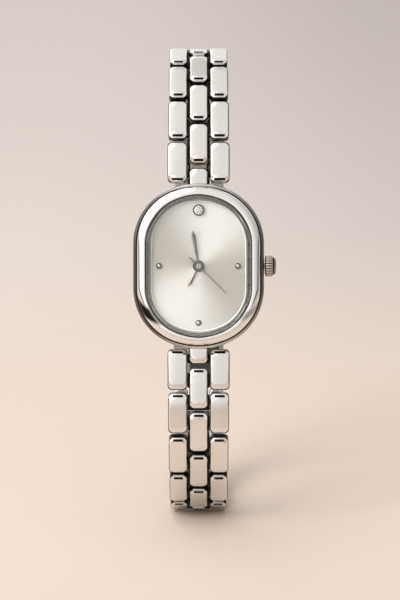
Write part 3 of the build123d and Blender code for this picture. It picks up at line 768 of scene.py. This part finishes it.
def brilliant():
    """A round brilliant: table, star, kite and girdle facets above, a pointed pavilion below."""
    def ring(radius, z, count, shift):
        turns = [tau * (i + shift) / count for i in range(count)]
        return [(radius * cos(t), stone_y + radius * sin(t), z) for t in turns]

    points = ring(0.42, 0.64, 8, 0) + ring(0.57, 0.56, 8, 0.5) + ring(0.69, 0.46, 16, 0)
    points += ring(0.69, 0.41, 16, 0) + ring(0.3, 0.2, 8, 0.5)
    points += [(0, stone_y, 0.05), (0, stone_y, 0.64)]
    table, crown, rim, low_rim, pavilion, culet, middle_top = 0, 8, 16, 32, 48, 56, 57
    faces = [(table + i, table + (i + 1) % 8, middle_top) for i in range(8)]
    for i in range(8):
        j, before = (i + 1) % 8, (i - 1) % 8
        here, middle, there = 2 * i, 2 * i + 1, (2 * i + 2) % 16
        faces.append((table + i, crown + i, table + j))
        faces.append((table + i, crown + before, rim + here, crown + i))
        faces.append((crown + i, rim + here, rim + middle))
        faces.append((crown + i, rim + middle, rim + there))
        faces.append((low_rim + here, pavilion + i, low_rim + middle))
        faces.append((low_rim + middle, pavilion + i, low_rim + there))
        faces.append((low_rim + here, pavilion + before, culet, pavilion + i))
        for a, b in ((here, middle), (middle, there)):
            faces.append((rim + a, rim + b, low_rim + b, low_rim + a))
    # Painted light and dark on the facets, standing for the stone's reflections
    even = [1, 0, 0.97, 0.5, 0.6, 0.6, 0.8, 0.9, 0.9]
    odd = [0.8, 0.05, 1, 0.3, 0.97, 0.6, 0.8, 0.9, 0.9]
    tones = [0, 0.9] * 4 + (even + odd) * 4
    split, cells, shades = [], [], []
    for face, tone in zip(faces, tones):
        cells.append(tuple(range(len(split), len(split) + len(face))))
        split += [points[i] for i in face]
        shades += [tone] * len(face)
    return Shape(split, cells, shades)


head_piece(
    "brilliant_stone",
    [brilliant()],
    "stone",
    nodes=["dial_stone"],
    sharp=3,
    look="cut_stone",
)


def lance(length, widest, width, neck, thick):
    """A hand's blade: a neck that widens to near its tip, ridged along its middle."""
    low, edge, ridge = 0.0, thick * 0.45, thick
    rows = [(0.0, neck / 2), (widest, width / 2), (length - 0.12, 0.06), (length, 0.012)]
    points, faces = [], []
    for y, half in rows:
        points += [(-half, y, low), (-half, y, edge), (0, y, ridge)]
        points += [(half, y, edge), (half, y, low)]
    points = [(x, y, min(z, edge) if y == length else z) for x, y, z in points]
    for row in range(len(rows) - 1):
        for i in range(4):
            a = row * 5 + i
            faces.append((a, a + 1, a + 6, a + 5))
        faces.append((row * 5 + 4, row * 5, row * 5 + 5, row * 5 + 9))
    faces.append((0, 1, 2, 3, 4))
    faces.append((15, 16, 17, 18, 19))
    return Shape(points, faces, [0] * len(points))


def hub(radius, thick, bore=0.0):
    """The round middle of a hand, with a bore where another passes through it."""
    rounded = [(radius, 0.0), (radius, thick * 0.6), (radius - 0.05, thick), (radius - 0.1, thick)]
    # Painted shade: a dark outline round the wall and the bore, or a dark dot at the middle when
    # solid
    if bore:
        rings = [circle(r, z) for r, z in rounded + [(bore, thick), (bore, 0.0)]]
        return loft(rings, closed=True, recess=[1, 1, 0.9, 0, 0, 1])
    rounded += [(0.14, thick), (0.12, thick), (0.0, thick)]
    return turned(rounded, recess=[1, 1, 0.9, 0, 0, 1, 1])


def hand(name, shapes, level, angle, body, node_name):
    """A hand at its level over the dial, turned clockwise from twelve o'clock."""
    turn = Matrix.Translation((0, 0, level)) @ Matrix.Rotation(-radians(angle), 4, "Z")
    shapes = [moved(shape, turn) for shape in shapes]
    head_piece(name, shapes, "hand_grey", body, [node_name], sharp=12)


hand(
    "hour_lance",
    [lance(3.73, 3.0, 0.62, 0.25, 0.15), hub(0.93, 0.15, 0.53)],
    0.30,
    207.9,
    "hour",
    "hour_hand",
)
hand(
    "minute_lance",
    [lance(5.75, 4.95, 0.62, 0.25, 0.15), hub(0.72, 0.15, 0.38)],
    0.60,
    -9.7,
    "minute",
    "minute_hand",
)
needle = loft(
    [
        [(-w, y, 0.02), (-w, y, 0.07), (0, y, 0.1), (w, y, 0.07), (w, y, 0.02)]
        for y, w in ((-2.06, 0.09), (0, 0.08), (6.18, 0.06))
    ]
)
arbor = turned([(0.12, -3.0), (0.12, 0.05)], 20)
hand("seconds_needle", [needle, arbor], 0.88, 134.2, "seconds", "seconds_hand")
cap = moved(hub(0.45, 0.1), Matrix.Translation((0, 0, 0.88)))
head_piece("seconds_cap", [cap], "hand_grey", "seconds", sharp=12, look="cap_steel")


def crown_piece():
    """Fluted grip and domed cap, about an axis across the watch."""
    flutes = 24
    per_flute = 8
    level = -2.25
    shades = []

    def section(x, radius, depth):
        ring = []
        for i in range(flutes * per_flute):
            turn = tau * i / (flutes * per_flute)
            wave = abs(sin(turn * flutes / 2)) ** 0.7
            reach = radius - depth * (1 - wave)
            ring.append((x, reach * cos(turn), level + reach * sin(turn)))
            # Painted shade in the flutes' grooves, and over all of the grip's plain ends
            shades.append(0.1 + 0.9 * (1 - wave) ** 0.6 if depth else 1.0)
        return ring

    start = half_width + 0.15
    grip = [
        section(start, 1.3, 0.0),
        section(start + 0.02, 1.45, 0.04),
        section(start + 0.1, 1.66, 0.13),
        section(start + 0.18, 1.7, 0.15),
        section(start + 1.1, 1.7, 0.15),
        section(start + 1.2, 1.66, 0.13),
        section(start + 1.28, 1.54, 0.05),
        section(start + 1.3, 1.42, 0.0),
    ]
    tip = start + 1.8
    dome = [(1.34, tip - 0.5), (1.4, tip - 0.46), (1.4, tip - 0.34), (1.3, tip - 0.15)]
    dome += [(1.16, tip - 0.05), (1.0, tip - 0.01), (0.6, tip), (0.01, tip)]
    cap = [
        [(x, r * cos(tau * i / 64), level + r * sin(tau * i / 64)) for i in range(64)]
        for r, x in dome
    ]
    fluted = loft(grip)
    fluted = Shape(fluted.points, fluted.faces, shades)
    # Painted shade on the cap: dark at its foot and in a band on its dome
    shapes = [fluted, loft(cap, recess=[1, 1, 0.9, 0.35, 0.7, 0.2, 0.1, 0.1])]
    look = "crown_steel"
    head_piece("crown_grip", shapes, "polished_steel", "crown", ["crown"], sharp=28, look=look)


crown_piece()

back_profile = [
    (1.75, case_bottom + 0.4),
    (1.75, case_bottom),
    (back_inset, case_bottom),
    (back_inset, back_bottom + 0.4),
    *arc((back_inset + 0.36, back_bottom + 0.3), (0.36, 0.3), 180, 270, 5),
    (2.4, back_bottom),
    (2.44, back_bottom + 0.03),
    (2.56, back_bottom + 0.03),
    (2.6, back_bottom),
]
head_piece(
    "back_cover",
    [oval_shape(back_profile, capped=True, closed=False)],
    "polished_steel",
    nodes=["case_back"],
    look="back_steel",
)

# Bracelet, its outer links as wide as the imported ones
for half, side in (("upper", 1), ("lower", -1)):
    for index in range(1, 18):
        kind = "outer_links" if index % 2 else "centre_link"
        name = f"{half}_{index:02d}_{kind}"
        short = f"{half}_{index:02d}"
        where = link_frame(half, index)
        pivots = (-half_pitch / 2, half_pitch / 2)
        if index % 2:
            low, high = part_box(name)
            half_total = (high.x - low.x) / 2 / MM
            width = half_total - centre_width / 2 - column_gap
            offset = half_total - width / 2
            shapes = [link_body(width, -side, flank * offset, 0, flank) for flank in (1, -1)]
            mesh = make_mesh(f"{short}_pair", shapes, link_sharp)
            place(f"{short}_pair", mesh, where, "link_steel", name, [name])
            reach = half_total - pin_setback
            # The pins at half painted shade, for the gaps they sit in
            pins = [slot_bar(y, pin_size, pin_size - nearly_round, reach, 0.5) for y in pivots]
            place(f"{short}_pins", make_mesh(f"{short}_pins", pins, 30), where, "pin_steel", name)
        else:
            shapes = [link_body(centre_width, -side, 0, -side * centre_shift)]
            more = side * long_boss if index < long_boss_links else 0
            near_y, far_y = -side * half_pitch / 2, side * half_pitch / 2
            shapes.append(slot_bar(near_y, boss_length, boss_height, boss_reach))
            shapes.append(slot_bar(far_y, boss_length, boss_height, boss_reach, more=more))
            mesh = make_mesh(f"{short}_centre", shapes, link_sharp)
            place(f"{short}_centre", mesh, where, "link_steel", name, [name])


# Floor, light and camera


def floor_material():
    """Plain pale warm stone, cooler far from the watch, with painted shade darker to the right and
    in front.
    """
    made, tree, output, coords = new_material("pale_floor")
    specks = noise(tree, coords, 500, 5.0)
    distance = node(tree, "ShaderNodeVectorMath", {0: coords}, operation="LENGTH").outputs["Value"]
    parts = node(tree, "ShaderNodeSeparateXYZ", {0: coords}).outputs
    far = span(tree, distance, 0.04, 0.25)
    # Painted shade: the far floor darker to the right
    back = span(tree, parts[0], -0.05, 0.09)
    back = blend_colours(tree, back, (0.53, 0.48, 0.46, 1), (0.42, 0.38, 0.365, 1))
    tone = blend_colours(tree, far, (0.54, 0.458, 0.4, 1), back)
    # Painted shade: darker towards the camera
    tone = blend_colours(tree, span(tree, parts[1], -0.03, -0.14), tone, (0.44, 0.37, 0.325, 1))
    tone = blend_colours(tree, span(tree, specks, 0.3, 0.7, 0, 0.1), tone, (0.5, 0.42, 0.35, 1))
    surface = {"Base Color": tone, "Roughness": 0.7, "Specular IOR Level": 0.2}
    shader = node(tree, "ShaderNodeBsdfPrincipled", surface)
    tree.links.new(shader.outputs[0], output.inputs[0])
    return made


floor_radius = 3
floor_steps = 64
floor_points = [(0.0, 0.0, 0.0)] + circle(floor_radius, 0.0, floor_steps)
floor_faces = [(0, 1 + i, 1 + (i + 1) % floor_steps) for i in range(floor_steps)]
floor_mesh = bpy.data.meshes.new("floor")
floor_mesh.from_pydata(floor_points, [], floor_faces)
floor_mesh.materials.append(floor_material())
floor = bpy.data.objects.new("floor", floor_mesh)
bpy.context.scene.collection.objects.link(floor)


def studio_world():
    """Pale light all round, bright at the left, dimmer at the right and behind, one small window.

    The camera sees a plain backdrop in its place.
    """
    world = bpy.data.worlds.new("studio")
    bpy.context.scene.world = world
    world.use_nodes = True
    tree = world.node_tree
    tree.nodes.clear()
    output = node(tree, "ShaderNodeOutputWorld")
    direction = node(tree, "ShaderNodeTexCoord").outputs["Generated"]
    parts = node(tree, "ShaderNodeSeparateXYZ", {0: direction}).outputs
    x, y, z = parts[0], parts[1], parts[2]
    light = span(tree, z, 0.0, 0.2, 0.82, 0.89)
    left = span(tree, x, 0.0, -0.2, 1.0, 1.85)
    light = math(tree, "MULTIPLY", light, left)
    right = span(tree, x, 0.15, 0.9, 1.0, 0.64)
    light = math(tree, "MULTIPLY", light, right)
    back = span(tree, y, 0.0, 0.3, 1.0, 0.8)
    light = math(tree, "MULTIPLY", light, back)
    light = math(tree, "MULTIPLY", light, span(tree, y, 0.4, 0.7, 1.0, 1.35))
    wide = math(tree, "ABSOLUTE", x)
    low = math(tree, "MULTIPLY", span(tree, z, 0.05, 0.09, 1, 0), span(tree, wide, 0.3, 0.5))
    light = math(tree, "MULTIPLY", light, math(tree, "MULTIPLY_ADD", low, -0.9, 1.0))
    pane_centre = {0: direction, 1: (-0.42, -0.62, 0.66)}
    pane = node(tree, "ShaderNodeVectorMath", pane_centre, operation="DISTANCE")
    pane = span(tree, pane.outputs["Value"], 0.14, 0.18, 1, 0)
    light = math(tree, "MULTIPLY_ADD", pane, 2.5, light)
    tone = node(tree, "ShaderNodeBackground", {"Color": (1.0, 0.97, 0.94, 1), "Strength": light})
    seen = node(tree, "ShaderNodeBackground", {"Color": (0.6, 0.55, 0.525, 1), "Strength": 1.0})
    straight = node(tree, "ShaderNodeLightPath").outputs["Is Camera Ray"]
    mixed = node(tree, "ShaderNodeMixShader", {0: straight, 1: tone.outputs[0], 2: seen.outputs[0]})
    tree.links.new(mixed.outputs[0], output.inputs[0])


studio_world()


def softbox(name, place_from, size, watts, colour=(1, 1, 1)):
    """A soft area light that faces the watch."""
    data = bpy.data.lights.new(name, "AREA")
    data.shape = "RECTANGLE"
    data.size, data.size_y = size
    data.energy = watts
    data.color = colour
    lamp = bpy.data.objects.new(name, data)
    bpy.context.scene.collection.objects.link(lamp)
    lamp.location = dial_centre + Vector(place_from)
    lamp.rotation_mode = "QUATERNION"
    lamp.rotation_quaternion = (-Vector(place_from)).to_track_quat("-Z", "Y")
    lamp.visible_camera = False
    lamp.visible_glossy = False


softbox("key_left", (-0.36, -0.3, 0.26), (0.3, 0.34), 1.9, (1, 0.98, 0.95))
softbox("top_fill", (-0.05, 0.1, 0.5), (0.4, 0.3), 0.7)

photo_width = 400
photo_height = 600
pixels_per_mm = 6.248
camera_distance = 450 * MM
centre_from_left = 198.6
centre_from_top = 266.05
lens_data = bpy.data.cameras.new("photo_camera")
camera = bpy.data.objects.new("photo_camera", lens_data)
bpy.context.scene.collection.objects.link(camera)
aim_right = (photo_width / 2 - centre_from_left) / pixels_per_mm * MM
aim_down = (photo_height / 2 - centre_from_top) / pixels_per_mm * MM
camera.location = dial_centre + dial_out * camera_distance
target = dial_centre + ACROSS * aim_right - dial_up * aim_down
camera.rotation_mode = "QUATERNION"
camera.rotation_quaternion = (target - camera.location).to_track_quat("-Z", "Y")
view_height = photo_height / pixels_per_mm * MM
lens_data.sensor_width = 36
lens_data.lens = lens_data.sensor_width * camera_distance / view_height
lens_data.clip_start = 0.01
lens_data.clip_end = 20
bpy.context.scene.camera = camera

scene = bpy.context.scene
scene.view_settings.view_transform = "Standard"
scene.cycles.use_denoising = True
